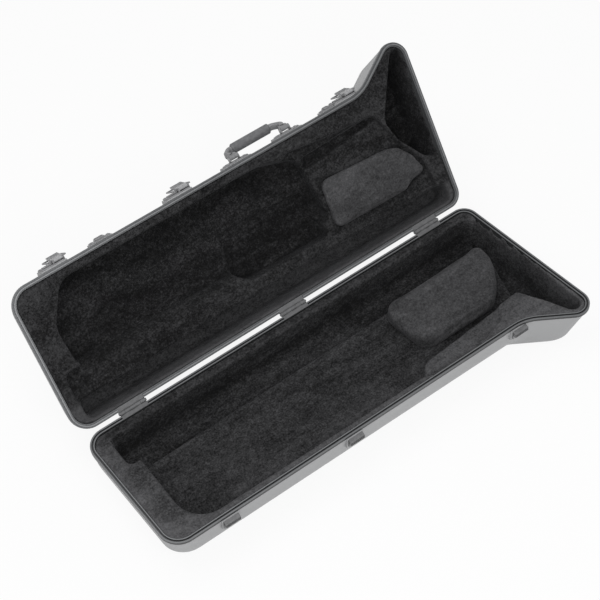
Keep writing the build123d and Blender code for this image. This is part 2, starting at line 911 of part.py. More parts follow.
def keeper_part(start):
    """Keeper: a plate with a grooved block whose underside catches the bail."""
    middle = start + keeper_middle
    bail_line = bail_length - bail_pivot[1]
    block_end = bail_line - bail_wire / 2 - keeper_hook_gap
    guide_start = bail_line + bail_wire / 2 + keeper_hook_gap
    bottom = keeper_top + keeper_plate_height
    surface = latch_face + keeper_plate
    with BuildPart() as keeper:
        with BuildSketch(base.face(middle, latch_face, keeper_top + keeper_plate_height / 2)):
            RectangleRounded(keeper_width, keeper_plate_height, 2.5)
        extrude(amount=-keeper_plate)
        with BuildSketch(base.section(middle)):
            with BuildLine():
                Polyline(
                    (surface - 0.5, keeper_top),
                    (surface + keeper_block_height * 0.7, keeper_top),
                    (surface + keeper_block_height, keeper_top + 2),
                    (surface + keeper_block_height, block_end),
                    (surface - 0.5, block_end - 1.2),
                    close=True,
                )
            make_face()
        extrude(amount=keeper_block_width / 2, both=True)
        with BuildSketch(base.section(middle)):
            with BuildLine():
                Polyline(
                    (surface - 0.5, guide_start),
                    (surface + keeper_block_height * 0.3, guide_start + 1),
                    (surface + keeper_block_height * 0.2, bottom - 1),
                    (surface - 0.5, bottom - 1),
                    close=True,
                )
            make_face()
        extrude(amount=keeper_guide_width / 2, both=True)
        groove_pitch = (block_end - keeper_top) / (keeper_groove_count + 0.5)
        for index in range(keeper_groove_count):
            depth = keeper_top + groove_pitch * (index + 1)
            with BuildSketch(base.section(middle)):
                with Locations((surface + keeper_block_height, depth)):
                    Rectangle(keeper_groove, keeper_groove)
            extrude(amount=keeper_block_width, both=True, mode=Mode.SUBTRACT)
        for core in rivet_cores(base, start, start + bail_right, back=False):
            add(core, mode=Mode.SUBTRACT)
    return keeper.part


for number, start in enumerate(latch_positions, 1):
    plate = latch_plate_part(start)
    plate.label = f"latch_plate_{number}"
    lever = latch_lever_part(start)
    lever.label = f"latch_lever_{number}"
    bail = latch_bail_part(start)
    bail.label = f"latch_bail_{number}"
    with BuildPart() as lever_pin:
        with BuildSketch(lid.section(start + ear_centre)):
            with Locations(lever_pivot):
                Circle(lever_pin_radius)
        extrude(amount=ear_span / 2, both=True)
    lever_pin.part.label = f"latch_pin_{number}"
    keeper = keeper_part(start)
    keeper.label = f"keeper_{number}"
    finished += [plate, lever, bail, lever_pin.part, keeper]



# Handle: a bow on two pins, with a thick sleeve over its middle
handle_axis = lid.point(handle_centre, bracket_face + handle_pivot_height, handle_pivot_depth)
tilt = radians(handle_angle)
handle_up = lid.inward * cos(tilt) + lid.across * sin(tilt)
handle_plane = Plane(
    handle_axis,
    x_dir=(1, 0, 0),
    z_dir=tuple(Vector(1, 0, 0).cross(handle_up)),
)
half_span = handle_pivot_span / 2

with BuildPart() as handle_bow_part:
    with BuildLine(handle_plane) as path:
        FilletPolyline(
            (-half_span, handle_eye_radius),
            (-half_span - 5, handle_reach * 0.55),
            (-grip_length / 2 - 6, handle_reach),
            (grip_length / 2 + 6, handle_reach),
            (half_span + 5, handle_reach * 0.55),
            (half_span, handle_eye_radius),
            radius=[10, 10, 10, 10],
        )
    with BuildSketch(Plane(path.wires()[0] @ 0, x_dir=(1, 0, 0), z_dir=tuple(path.wires()[0] % 0))):
        RectangleRounded(handle_thickness, handle_bow, 3.5)
    sweep(path=path.wires()[0])
    for sign in (-1, 1):
        eye = Plane(
            handle_plane.origin + Vector(sign * half_span, 0, 0),
            x_dir=tuple(handle_up),
            z_dir=(1, 0, 0),
        )
        with BuildSketch(eye):
            Circle(handle_eye_radius)
            with Locations((handle_eye_radius * 0.8, 0)):
                Rectangle(handle_eye_radius * 1.6, handle_eye_radius * 2)
        extrude(amount=handle_eye_width / 2, both=True)
        with BuildSketch(eye):
            Circle(handle_pin_radius + pin_clearance)
        extrude(amount=handle_eye_width, both=True, mode=Mode.SUBTRACT)
handle_bow_part.part.label = "handle_bow"

with BuildPart() as grip:
    across_grip = Plane(
        handle_plane.origin + handle_up * handle_reach,
        x_dir=tuple(handle_up),
        z_dir=(1, 0, 0),
    )
    with BuildSketch(across_grip):
        Ellipse(grip_thickness / 2, grip_width / 2)
    extrude(amount=grip_length / 2, both=True)
    ends = grip.edges().filter_by(GeomType.ELLIPSE)
    fillet(ends, 3)
    with BuildSketch(across_grip):
        RectangleRounded(handle_thickness, handle_bow, 3.5)
    extrude(amount=grip_length, both=True, mode=Mode.SUBTRACT)
grip.part.label = "handle_grip"
finished += [handle_bow_part.part, grip.part]

for number, sign in enumerate((-1, 1), 1):
    middle = handle_centre + sign * half_span
    with BuildPart() as bracket:
        with BuildSketch(lid.face(middle, bracket_face, handle_pivot_depth)):
            with BuildLine():
                Polyline(
                    (-bracket_length / 2, -bracket_height / 2 + bracket_taper),
                    (-bracket_length / 2 + bracket_taper, -bracket_height / 2),
                    (bracket_length / 2 - bracket_taper, -bracket_height / 2),
                    (bracket_length / 2, -bracket_height / 2 + bracket_taper),
                    (bracket_length / 2, bracket_height / 2 - bracket_taper),
                    (bracket_length / 2 - bracket_taper, bracket_height / 2),
                    (-bracket_length / 2 + bracket_taper, bracket_height / 2),
                    (-bracket_length / 2, bracket_height / 2 - bracket_taper),
                    close=True,
                )
            make_face()
        extrude(amount=bracket_plate, taper=12)
        for side in (-1, 1):
            ear = middle + side * (handle_eye_width / 2 + knuckle_gap + bracket_ear / 2)
            with BuildSketch(lid.section(ear)):
                with Locations((bracket_face + handle_pivot_height, handle_pivot_depth)):
                    Circle(bracket_ear_radius)
                with Locations((bracket_face + handle_pivot_height / 2, handle_pivot_depth)):
                    Rectangle(handle_pivot_height, 2 * bracket_ear_radius)
            extrude(amount=bracket_ear / 2, both=True)
        with BuildSketch(lid.section(middle)):
            with Locations((bracket_face + handle_pivot_height, handle_pivot_depth)):
                Circle(handle_pin_radius)
        extrude(amount=bracket_length, both=True, mode=Mode.SUBTRACT)
        for core in rivet_cores(lid, middle - bracket_length / 2, middle + bracket_length / 2, back=False):
            add(core, mode=Mode.SUBTRACT)
    bracket.part.label = f"handle_bracket_{number}"
    with BuildPart() as handle_pin:
        with BuildSketch(lid.section(middle)):
            with Locations((bracket_face + handle_pivot_height, handle_pivot_depth)):
                Circle(handle_pin_radius)
        extrude(amount=handle_eye_width / 2 + knuckle_gap + bracket_ear, both=True)
    handle_pin.part.label = f"handle_pin_{number}"
    finished += [bracket.part, handle_pin.part]


# Small plates with a ridged pad
small_plates = zip(small_plate_positions, small_plate_lengths, small_pad_lengths)
for number, (middle, length, pad_length) in enumerate(small_plates, 1):
    depth = small_plate_top + small_plate_height / 2
    with BuildPart() as small_plate:
        with BuildSketch(lid.face(middle, bracket_face, depth)):
            RectangleRounded(length, small_plate_height, 3)
        extrude(amount=small_plate_thickness)
        with BuildSketch(lid.face(middle, bracket_face + small_plate_thickness, depth)):
            RectangleRounded(pad_length, small_plate_height - 4, 2)
        extrude(amount=small_pad_rise, taper=15)
        pitch = (small_plate_height - 8) / small_pad_ridges
        for index in range(small_pad_ridges):
            line = depth + (index - (small_pad_ridges - 1) / 2) * pitch
            with BuildSketch(lid.section(middle)):
                with Locations((bracket_face + small_plate_thickness + small_pad_rise, line)):
                    Circle(1.0)
            extrude(amount=pad_length / 2 - 2, both=True)
        for core in rivet_cores(lid, middle - length / 2, middle + length / 2, back=False):
            add(core, mode=Mode.SUBTRACT)
    small_plate.part.label = f"small_plate_{number}"
    finished.append(small_plate.part)


# Rivets: a core with a low domed head, one node for each half
def rivets(half):
    """All rivets of one half as a group of solids."""
    heads = []
    for places, way in ((front_rivets[half.name], 1), (back_rivets[half.name], -1)):
        for along, across, depth in places:
            with BuildPart() as head:
                with BuildSketch(half.face(along, across, depth)):
                    Circle(rivet_head_radius)
                extrude(amount=-way * half.hand * rivet_head_height, taper=38)
            heads.append(head.part)
    return [h.fuse(c) for h, c in zip(heads, rivet_cores(half))]


for half in (base, lid):
    group = Compound([s for rivet in rivets(half) for s in rivet.solids()])
    group.label = f"{half.name}_rivets"
    finished.append(group)


# Rubber feet at the hinge side, on which either half's edge can stand
def foot(half, form, middle):
    """One foot that wraps the lower edge of the hinge side, with two sunk screw seats."""
    top = case_depth - foot_height
    with BuildPart() as body:
        with BuildSketch(half.section(middle)):
            with BuildLine():
                FilletPolyline(
                    (-foot_reach, top + 4),
                    (-foot_reach, case_depth),
                    (foot_underlap, case_depth),
                    (foot_underlap, top),
                    (-foot_reach + 5, top),
                    radius=[2.0, 3.0, 1.0, 1.0, 3.0],
                    close=True,
                )
            make_face()
        extrude(amount=foot_width / 2, both=True)
        add(form, mode=Mode.SUBTRACT)
        for side in (-1, 1):
            seat = half.face(middle + side * foot_width / 4, -foot_reach, top + foot_height / 2)
            with BuildSketch(seat):
                Circle(foot_screw_head)
            extrude(amount=-half.hand * foot_screw_seat, mode=Mode.SUBTRACT)
        for shank in foot_screw_shanks(half, middle - foot_width, middle + foot_width):
            add(shank, mode=Mode.SUBTRACT)
    return body.part


def foot_screw(half, shank, along):
    """One foot screw: its shank and a flat head sunk in the rubber."""
    with BuildPart() as screw:
        add(shank)
        across = foot_screw_seat - foot_reach
        with BuildSketch(half.face(along, across, case_depth - foot_height / 2)):
            Circle(foot_screw_head)
        extrude(amount=half.hand * foot_screw_seat / 2)
    return screw.part


for half, form in ((base, base_form), (lid, lid_form)):
    group = Compound([s for middle in foot_positions for s in foot(half, form, middle).solids()])
    group.label = f"{half.name}_feet"
    finished.append(group)
    places = [middle + side * foot_width / 4 for middle in foot_positions for side in (-1, 1)]
    screws = [foot_screw(half, shank, p) for shank, p in zip(foot_screw_shanks(half), places)]
    group = Compound([s for screw in screws for s in screw.solids()])
    group.label = f"{half.name}_foot_screws"
    finished.append(group)


for piece in finished:
    export_step(piece, f"parts/{piece.label}.step")
    print(piece.label, len(piece.solids()), round(piece.volume / 1000, 2))
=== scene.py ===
# %% [markdown]
# An open hard case with a plush lining, dressed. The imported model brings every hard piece
# to its place: the moulded shells, the rims, hinges, latches, handle and feet. This
# lesson gives each of them its real finish, and makes the soft lining anew, because foam
# under plush has no crisp edges. All lengths in Blender are metres.

from math import cos, degrees, radians, sin

import bmesh
import bpy
from mathutils import Matrix, Vector
from mathutils.bvhtree import BVHTree


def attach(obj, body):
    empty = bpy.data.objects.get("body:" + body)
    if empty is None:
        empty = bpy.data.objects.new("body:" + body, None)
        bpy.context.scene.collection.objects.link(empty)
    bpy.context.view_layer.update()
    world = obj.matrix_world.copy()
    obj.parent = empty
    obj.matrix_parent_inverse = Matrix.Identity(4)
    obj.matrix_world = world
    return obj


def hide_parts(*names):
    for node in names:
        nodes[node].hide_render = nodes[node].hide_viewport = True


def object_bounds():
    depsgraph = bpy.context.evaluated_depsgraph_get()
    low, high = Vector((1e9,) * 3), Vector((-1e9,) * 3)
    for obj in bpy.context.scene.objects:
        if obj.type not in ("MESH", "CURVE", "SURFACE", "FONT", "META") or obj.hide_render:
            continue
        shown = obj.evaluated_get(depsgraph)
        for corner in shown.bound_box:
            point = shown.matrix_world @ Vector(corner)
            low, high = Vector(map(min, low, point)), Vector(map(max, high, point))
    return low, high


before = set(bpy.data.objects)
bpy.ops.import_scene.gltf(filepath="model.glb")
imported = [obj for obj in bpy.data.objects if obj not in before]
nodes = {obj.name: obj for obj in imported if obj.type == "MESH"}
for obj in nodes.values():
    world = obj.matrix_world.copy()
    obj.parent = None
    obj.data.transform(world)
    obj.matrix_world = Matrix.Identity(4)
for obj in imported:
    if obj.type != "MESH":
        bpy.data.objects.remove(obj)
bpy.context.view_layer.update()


# %% [markdown]
# A material is a small graph of nodes, and every finish here starts the same way: a
# Principled shader, and object coordinates to read patterns from. Object coordinates are
# in metres and stay with the piece when it moves, so a pattern never slides over it.

# %% Start a material
def new_material(name):
    material = bpy.data.materials.new(name)
    material.use_nodes = True
    graph = material.node_tree
    shader = graph.nodes["Principled BSDF"]
    place = graph.nodes.new("ShaderNodeTexCoord")
    return material, graph, shader, place.outputs["Object"]


def made(material):
    print("material:", material.name, "nodes:", len(material.node_tree.nodes))
    return material


# %% [markdown]
# Real surfaces are never even, and noise gives that. A noise scale of 400 makes grains of
# about 2.5 mm. Stretching the coordinates turns grains into streaks, and a warp bends
# them. Several noises are added up, each with its own weight.

# %% Noise
def noise(graph, place, scale, detail=4.0, roughness=0.55, stretch=None, warp=0.0):
    if stretch:
        mapping = graph.nodes.new("ShaderNodeMapping")
        mapping.inputs["Scale"].default_value = stretch
        graph.links.new(place, mapping.inputs["Vector"])
        place = mapping.outputs["Vector"]
    node = graph.nodes.new("ShaderNodeTexNoise")
    node.inputs["Scale"].default_value = scale
    node.inputs["Detail"].default_value = detail
    node.inputs["Roughness"].default_value = roughness
    node.inputs["Distortion"].default_value = warp
    graph.links.new(place, node.inputs["Vector"])
    return node.outputs["Fac"]


def weighed(graph, first, weight, second):
    node = graph.nodes.new("ShaderNodeMath")
    node.operation = "MULTIPLY_ADD"
    node.inputs[1].default_value = weight
    graph.links.new(first, node.inputs[0])
    if second is None:
        node.inputs[2].default_value = 0.0
    else:
        graph.links.new(second, node.inputs[2])
    return node.outputs[0]


# %% [markdown]
# A ramp turns an amount into a colour between a dark and a light one, a mix joins two
# colours, and a bump tilts the surface by a height, without new geometry. Bump is kept
# for grain that is finer than a millimetre or so. Every larger form is in the meshes.

# %% Colours and bump
def ramp(graph, value, low, high, dark, light):
    node = graph.nodes.new("ShaderNodeValToRGB")
    node.color_ramp.elements[0].position = low
    node.color_ramp.elements[0].color = (*dark, 1.0)
    node.color_ramp.elements[1].position = high
    node.color_ramp.elements[1].color = (*light, 1.0)
    graph.links.new(value, node.inputs["Fac"])
    return node.outputs["Color"]


def mix(graph, factor, first, second, blend="MIX"):
    node = graph.nodes.new("ShaderNodeMix")
    node.data_type = "RGBA"
    node.blend_type = blend
    if isinstance(factor, float):
        node.inputs["Factor"].default_value = factor
    else:
        graph.links.new(factor, node.inputs["Factor"])
    graph.links.new(first, node.inputs[6])
    graph.links.new(second, node.inputs[7])
    return node.outputs[2]


def bump(graph, shader, height, strength, distance):
    node = graph.nodes.new("ShaderNodeBump")
    node.inputs["Strength"].default_value = strength
    node.inputs["Distance"].default_value = distance
    graph.links.new(height, node.inputs["Height"])
    graph.links.new(node.outputs["Normal"], shader.inputs["Normal"])


# %% [markdown]
# The shells are moulded plastic with a fine leather grain. The colour is a mid grey that
# varies a little over the sheet, and the grain is a cell pattern about a millimetre
# across. Cut into the mesh it would take millions of faces, so only the bump shows it.

# %% Moulded shell plastic
def shell_plastic():
    material, graph, shader, place = new_material("shell_plastic")
    cloud = noise(graph, place, 9.0, 3.0)
    tint = ramp(graph, cloud, 0.35, 0.7, (0.347, 0.35, 0.355), (0.376, 0.379, 0.384))
    graph.links.new(tint, shader.inputs["Base Color"])
    shader.inputs["Roughness"].default_value = 0.5
    shader.inputs["Specular IOR Level"].default_value = 0.5
    cells = graph.nodes.new("ShaderNodeTexVoronoi")
    cells.inputs["Scale"].default_value = 700.0
    graph.links.new(place, cells.inputs["Vector"])
    bump(graph, shader, cells.outputs["Distance"], 0.35, 0.0004)
    return made(material)


shell = shell_plastic()


# %% [markdown]
# Painted light and shade change with place: a recess is painted darker towards its bottom,
# a painted shade, and some ledges are painted paler, a painted light. A point's distance
# along a direction is a dot product of its coordinates, and a Map Range turns it into an
# amount. Two directions below point into the halves of the case, and one across the lid,
# away from the hinges.
# Beside them stand the distances at which the openings and the line of hinges lie.

# %% Distance shading
# The amount this gives paints light and shade by place: painted light, painted shade.
def fade(graph, place, direction, start, end, amount, rest=0.0):
    """An amount that changes to another between two distances along a direction."""
    node = graph.nodes.new("ShaderNodeVectorMath")
    node.operation = "DOT_PRODUCT"
    node.inputs[1].default_value = direction
    graph.links.new(place, node.inputs[0])
    sunk = graph.nodes.new("ShaderNodeMapRange")
    sunk.inputs["From Min"].default_value = start
    sunk.inputs["From Max"].default_value = end
    sunk.inputs["To Min"].default_value = amount
    sunk.inputs["To Max"].default_value = rest
    graph.links.new(node.outputs["Value"], sunk.inputs["Value"])
    return sunk.outputs["Result"]


lid_inward = (0.0, 0.6896, -0.7242)
lid_start = 0.0201
lid_across = (0.0, 0.7242, 0.6896)
lid_hinge_line = 0.1924
base_inward = (0.0, 0.0, -1.0)
base_start = -0.115
opening = degrees(Vector(lid_inward).angle(-Vector(base_inward)))
print("the lid is open by", round(opening, 1), "degrees")


# %% [markdown]
# The rims are extruded aluminium, anodised dark grey. The finish reads how deep a point
# lies below the opening: the tongue of the lid rim is painted paler, a painted highlight,
# and the groove of the base rim is painted dark, a painted shade. Brushing along the
# extrusion shows as a fine streak: the noise is stretched along the case.

# %% Anodised rims
def streaked(graph, streak, shade):
    """A shade that a streak makes a little darker here and lighter there."""
    dark = tuple(v * 0.85 for v in shade)
    light = tuple(v * 1.15 for v in shade)
    return ramp(graph, streak, 0.3, 0.75, dark, light)


def rim_metal(name, inward, low, high, shade_low, shade_high):
    material, graph, shader, place = new_material(name)
    streak = noise(graph, place, 60.0, 6.0, 0.6, stretch=(1.0, 8.0, 8.0))
    # Painted highlight and painted shade: the colour changes with depth below the opening.
    depth = fade(graph, place, inward, low, high, 0.0, 1.0)
    tint = mix(graph, depth, streaked(graph, streak, shade_low), streaked(graph, streak, shade_high))
    graph.links.new(tint, shader.inputs["Base Color"])
    shader.inputs["Metallic"].default_value = 0.35
    shader.inputs["Roughness"].default_value = 0.42
    bump(graph, shader, streak, 0.08, 0.0003)
    return made(material)


base_lips = (0.165, 0.169, 0.174)
# Painted shade in the groove of the base rim.
base_groove_painted_shade = (0.045, 0.046, 0.048)
lips_end = base_start + 0.0006
groove_begins = base_start + 0.0012
base_rim_finish = rim_metal(
    "base_rim_metal", base_inward, lips_end, groove_begins, base_lips, base_groove_painted_shade
)

# Painted highlight on the tongue of the lid rim.
lid_tongue_painted_highlight = (0.20, 0.204, 0.21)
lid_lips = (0.105, 0.108, 0.112)
tongue_ends = lid_start - 0.0012
lips_begin = lid_start - 0.0004
lid_rim_finish = rim_metal("lid_rim_metal", lid_inward, tongue_ends, lips_begin, lid_tongue_painted_highlight, lid_lips)


# %% [markdown]
# Latches, keepers, brackets and hinges are painted or moulded in a satin mid grey. Worn
# spots catch a little more light, which a low noise in the colour gives. Between their
# ridges and in their slots the colour is painted darker, a painted shade. The Ambient
# Occlusion node finds such hollows: it tells how open the surface is within a few
# millimetres, and only its own mesh counts, so that nothing changes when the piece moves.

# %% Satin fittings
hollow_shade_reach = 0.004
hollow_shade_dark = (0.12, 0.12, 0.12)
open_surface_tint = (1.0, 1.0, 1.0)


# Painted shade in the hollows of a fitting.
def painted_hollow_shade(graph, tint):
    """Painted shade: darkens a colour in the hollows that are narrower than the reach."""
    hollow = graph.nodes.new("ShaderNodeAmbientOcclusion")
    hollow.samples = 8
    hollow.only_local = True
    hollow.inputs["Distance"].default_value = hollow_shade_reach
    shade = ramp(graph, hollow.outputs["AO"], 0.45, 0.95, hollow_shade_dark, open_surface_tint)
    return mix(graph, 1.0, tint, shade, "MULTIPLY")


def satin_fitting(name, dark, light, roughness):
    material, graph, shader, place = new_material(name)
    wear = noise(graph, place, 140.0, 5.0)
    # The worn colour, with painted shade in its hollows.
    tint = painted_hollow_shade(graph, ramp(graph, wear, 0.35, 0.72, dark, light))
    graph.links.new(tint, shader.inputs["Base Color"])
    shader.inputs["Roughness"].default_value = roughness
    grain = noise(graph, place, 1500.0, 2.0)
    bump(graph, shader, grain, 0.15, 0.0002)
    return made(material)


fitting = satin_fitting("fitting_plastic", (0.17, 0.171, 0.176), (0.26, 0.261, 0.268), 0.4)
keeper_plastic = satin_fitting("keeper_plastic", (0.115, 0.116, 0.119), (0.17, 0.171, 0.175), 0.42)
lever_plastic = satin_fitting("lever_plastic", (0.27, 0.272, 0.278), (0.38, 0.382, 0.39), 0.38)
grip_plastic = satin_fitting("grip_plastic", (0.11, 0.111, 0.116), (0.165, 0.166, 0.172), 0.55)
hinge_paint = satin_fitting("hinge_paint", (0.10, 0.101, 0.104), (0.135, 0.136, 0.14), 0.5)


# %% [markdown]
# Pins and foot screws are plated steel, with fine drawn streaks. The feet are rubber,
# nearly black, with a bloom of dust in patches. Both could be one flat colour, but a
# close view tells metal from rubber by these marks, and one noise is enough for each.

# %% Steel and rubber
def plated_steel():
    material, graph, shader, place = new_material("plated_steel")
    streak = noise(graph, place, 400.0, 4.0, 0.6, stretch=(0.3, 3.0, 3.0))
    tint = ramp(graph, streak, 0.3, 0.7, (0.28, 0.28, 0.285), (0.42, 0.42, 0.425))
    graph.links.new(tint, shader.inputs["Base Color"])
    shader.inputs["Metallic"].default_value = 0.9
    shader.inputs["Roughness"].default_value = 0.33
    bump(graph, shader, streak, 0.05, 0.0002)
    return made(material)


def foot_rubber():
    material, graph, shader, place = new_material("foot_rubber")
    dust = noise(graph, place, 60.0, 5.0)
    tint = ramp(graph, dust, 0.4, 0.75, (0.035, 0.035, 0.036), (0.07, 0.07, 0.07))
    graph.links.new(tint, shader.inputs["Base Color"])
    shader.inputs["Roughness"].default_value = 0.75
    bump(graph, shader, noise(graph, place, 900.0, 3.0), 0.2, 0.0003)
    return made(material)


steel = plated_steel()
rubber = foot_rubber()


# %% [markdown]
# The shape and the place of a hard piece are exact in its CAD mesh, so it keeps that mesh
# and only gets a finish in its material slot. One list of node name beginnings and
# finishes covers them all.

# %% Finish the hard nodes
finishes = [
    ("base_shell", shell),
    ("lid_shell", shell),
    ("base_rim", base_rim_finish),
    ("lid_rim", lid_rim_finish),
    ("hinge_leaf", hinge_paint),
    ("hinge_pin", hinge_paint),
    ("latch_plate", fitting),
    ("latch_lever", lever_plastic),
    ("latch_bail", fitting),
    ("latch_pin", steel),
    ("keeper", keeper_plastic),
    ("handle_bow", fitting),
    ("handle_grip", grip_plastic),
    ("handle_bracket", fitting),
    ("handle_pin", steel),
    ("small_plate", fitting),
    ("base_rivets", fitting),
    ("lid_rivets", fitting),
    ("base_feet", rubber),
    ("lid_feet", rubber),
    ("base_foot_screws", steel),
    ("lid_foot_screws", steel),
]


def finish_node(node, material):
    mesh = nodes[node].data
    mesh.materials.clear()
    mesh.materials.append(material)


finished = 0
for node in nodes:
    for beginning, material in finishes:
        if node.startswith(beginning):
            finish_node(node, material)
            finished += 1
print("hard nodes finished:", finished)


# %% [markdown]
# Plush is the hardest finish. Its pile is about two millimetres long: seen from above it
# is nearly black, and where it has been brushed the other way it turns charcoal. One
# amount, the nap, says which of the two a spot shows, and a ramp turns it into a shade.
# Three shades come with each plush, and a fourth, above them, is for the brightest tips.

# %% Shades of the pile
nap_stops = (0.43, 0.52, 0.63, 0.76)
tip_gain = 1.7
blue_cast = 1.04


def pile_shades(graph, nap, shades):
    tint = graph.nodes.new("ShaderNodeValToRGB")
    stops = tint.color_ramp.elements
    stops.new(0.5)
    stops.new(0.6)
    for stop, position, shade in zip(stops, nap_stops, (*shades, shades[-1] * tip_gain)):
        stop.position = position
        stop.color = (shade, shade, shade * blue_cast, 1.0)
    graph.links.new(nap, tint.inputs["Fac"])
    return tint.outputs["Color"]


# %% [markdown]
# Rounded edges spread the pile, and they are painted a little paler than the flats, a
# painted highlight. Pointiness tells how much a mesh bulges: a half is flat, and more is
# an outer edge.

# %% Paler edges
# Painted highlight on the convex edges of the foam.
def edges_painted_highlight(graph):
    shape = graph.nodes.new("ShaderNodeNewGeometry")
    edge_highlight = graph.nodes.new("ShaderNodeMapRange")
    edge_highlight.inputs["From Min"].default_value = 0.5
    edge_highlight.inputs["From Max"].default_value = 0.58
    edge_highlight.inputs["To Min"].default_value = 0.0
    edge_highlight.inputs["To Max"].default_value = 0.05
    graph.links.new(shape.outputs["Pointiness"], edge_highlight.inputs["Value"])
    return edge_highlight.outputs["Result"]


# %% [markdown]
# Four noises make the nap: broad brushed streaks, crushed patches, a speckle of tufts,
# and a fine grain for the fibres. It falls with depth, a painted shade for a deep floor.
# It is raised in some places, a painted light, and lowered at the hinges, a painted shade.
# Sheen lights the tips where the surface turns away.

# %% Plush
painted_shade_depth = 0.06
deep_painted_shade = -0.072


def plush(name, shades, inward, start, lift, lit_places=()):
    material, graph, shader, place = new_material(name)
    brushed = noise(graph, place, 20.0, 5.0, 0.65, stretch=(0.4, 1.0, 1.0), warp=0.8)
    crushed = noise(graph, place, 110.0, 3.0, 0.6, stretch=(0.8, 1.0, 1.0), warp=0.5)
    tufts = noise(graph, place, 280.0, 3.0, 0.75)
    fibres = noise(graph, place, 1000.0, 2.0, 0.7)
    # Painted shade: the nap falls with depth below the opening.
    sunk = fade(graph, place, inward, start, start + painted_shade_depth, lift, deep_painted_shade)
    nap = weighed(graph, fibres, 0.14, sunk)
    # Painted light and painted shade where the lining is raised or lowered by place.
    for lit in lit_places:
        nap = weighed(graph, fade(graph, place, *lit), 1.0, nap)
    # Painted highlight on convex edges.
    nap = weighed(graph, edges_painted_highlight(graph), 1.0, nap)
    nap = weighed(graph, tufts, 0.46, nap)
    nap = weighed(graph, crushed, 0.24, nap)
    nap = weighed(graph, brushed, 0.28, nap)
    graph.links.new(pile_shades(graph, nap, shades), shader.inputs["Base Color"])
    shader.inputs["Roughness"].default_value = 0.95
    shader.inputs["Specular IOR Level"].default_value = 0.12
    shader.inputs["Sheen Weight"].default_value = 0.10
    shader.inputs["Sheen Roughness"].default_value = 0.35
    shader.inputs["Sheen Tint"].default_value = (0.5, 0.51, 0.54, 1.0)
    height = weighed(graph, tufts, 0.6, weighed(graph, fibres, 0.4, None))
    bump(graph, shader, height, 0.8, 0.0016)
    return made(material)


# %% [markdown]
# The four soft pieces get one plush each. The base lining is paler than the lid's, and
# its front and left ledges are painted paler still, a painted light, while the ledge at
# the hinges is painted darker, a painted shade. In the lid, the trough beside the hinges
# is painted paler, a painted light. The block and the pad are covered in a tighter plush
# that shows less black.

# %% Plush for each piece
along_x = (1.0, 0.0, 0.0)
along_y = (0.0, 1.0, 0.0)
# Painted light on the lid's trough and on the base's front and left ledges; painted shade on the ledge
# at the hinges.
trough_painted_light = (lid_across, lid_hinge_line + 0.044, lid_hinge_line + 0.052, 0.13)
front_painted_light = (along_y, -0.115, -0.075, 0.07)
hinge_shade = (along_y, 0.105, 0.125, 0.0, -0.09)
left_painted_light = (along_x, -0.435, -0.40, 0.07)

base_shades = (0.007, 0.027, 0.062)
lid_shades = (0.004, 0.0125, 0.040)
base_lit = (front_painted_light, left_painted_light, hinge_shade)
base_plush = plush("plush_base", base_shades, base_inward, base_start, 0.025, base_lit)
lid_plush = plush("plush_lid", lid_shades, lid_inward, lid_start, 0.0, (trough_painted_light,))

block_shades = (0.022, 0.044, 0.074)
pad_shades = (0.022, 0.043, 0.070)
block_plush = plush("plush_block", block_shades, base_inward, base_start, -0.005)
pad_plush = plush("plush_pad", pad_shades, lid_inward, lid_start, -0.005)


# %% [markdown]
# The lining is foam covered in plush, pressed into recesses. Its CAD solid has the right
# hollows but crisp edges, and its mesh is loose triangles of every size. So a copy is
# merged, and a voxel remesh gives it even faces that can be smoothed.

# %% Even copies of the soft solids
same_place = 0.00002


def evaluated(piece):
    """Applies the modifiers of a piece to its mesh."""
    depsgraph = bpy.context.evaluated_depsgraph_get()
    mesh = bpy.data.meshes.new_from_object(piece.evaluated_get(depsgraph))
    piece.modifiers.clear()
    old = piece.data
    piece.data = mesh
    bpy.data.meshes.remove(old)


def even_copy(node, voxel):
    source = nodes[node]
    piece = bpy.data.objects.new(f"{node}_plush", source.data.copy())
    bpy.context.scene.collection.objects.link(piece)
    shape = bmesh.new()
    shape.from_mesh(piece.data)
    bmesh.ops.remove_doubles(shape, verts=shape.verts, dist=same_place)
    shape.to_mesh(piece.data)
    shape.free()
    remesh = piece.modifiers.new("even faces", "REMESH")
    remesh.mode = "VOXEL"
    remesh.voxel_size = voxel
    evaluated(piece)
    return piece


# %% [markdown]
# Smoothing an even mesh rounds every edge as foam does, and a broad displacement then
# takes away the machined flatness. Both can be held back by a vertex group: the edge of
# a lining is tucked under the rim, where it stays crisp, so the group grows from nothing
# at the rim to full a few millimetres off.

# %% Soften a copy
def soften(piece, rounds, unevenness, cloud_size, group=""):
    smooth = piece.modifiers.new("soft edges", "SMOOTH")
    smooth.factor = 0.5
    smooth.iterations = rounds
    smooth.vertex_group = group
    clouds = bpy.data.textures.new(f"{piece.name}_clouds", "CLOUDS")
    clouds.noise_scale = cloud_size
    wave = piece.modifiers.new("uneven foam", "DISPLACE")
    wave.texture = clouds
    wave.texture_coords = "LOCAL"
    wave.mid_level = 0.5
    wave.strength = unevenness
    wave.vertex_group = group
    evaluated(piece)
    for polygon in piece.data.polygons:
        polygon.use_smooth = True
    print(piece.name, "faces:", len(piece.data.polygons))


def away_from(piece, node, near, far):
    """Vertex group that grows from nothing at a node's surface to full a little way off."""
    surface = BVHTree.FromPolygons(
        [v.co for v in nodes[node].data.vertices], [p.vertices for p in nodes[node].data.polygons]
    )
    group = piece.vertex_groups.new(name="free")
    for vertex in piece.data.vertices:
        distance = surface.find_nearest(vertex.co)[3]
        weight = min(max((distance - near) / (far - near), 0.0), 1.0)
        group.add([vertex.index], weight, "REPLACE")
    return group.name


# %% [markdown]
# Each soft piece rides on its half of the case, stands for its CAD node and takes its
# plush. The two linings are made first. They are glued down on moulded foam, so they need
# no cloth simulation.

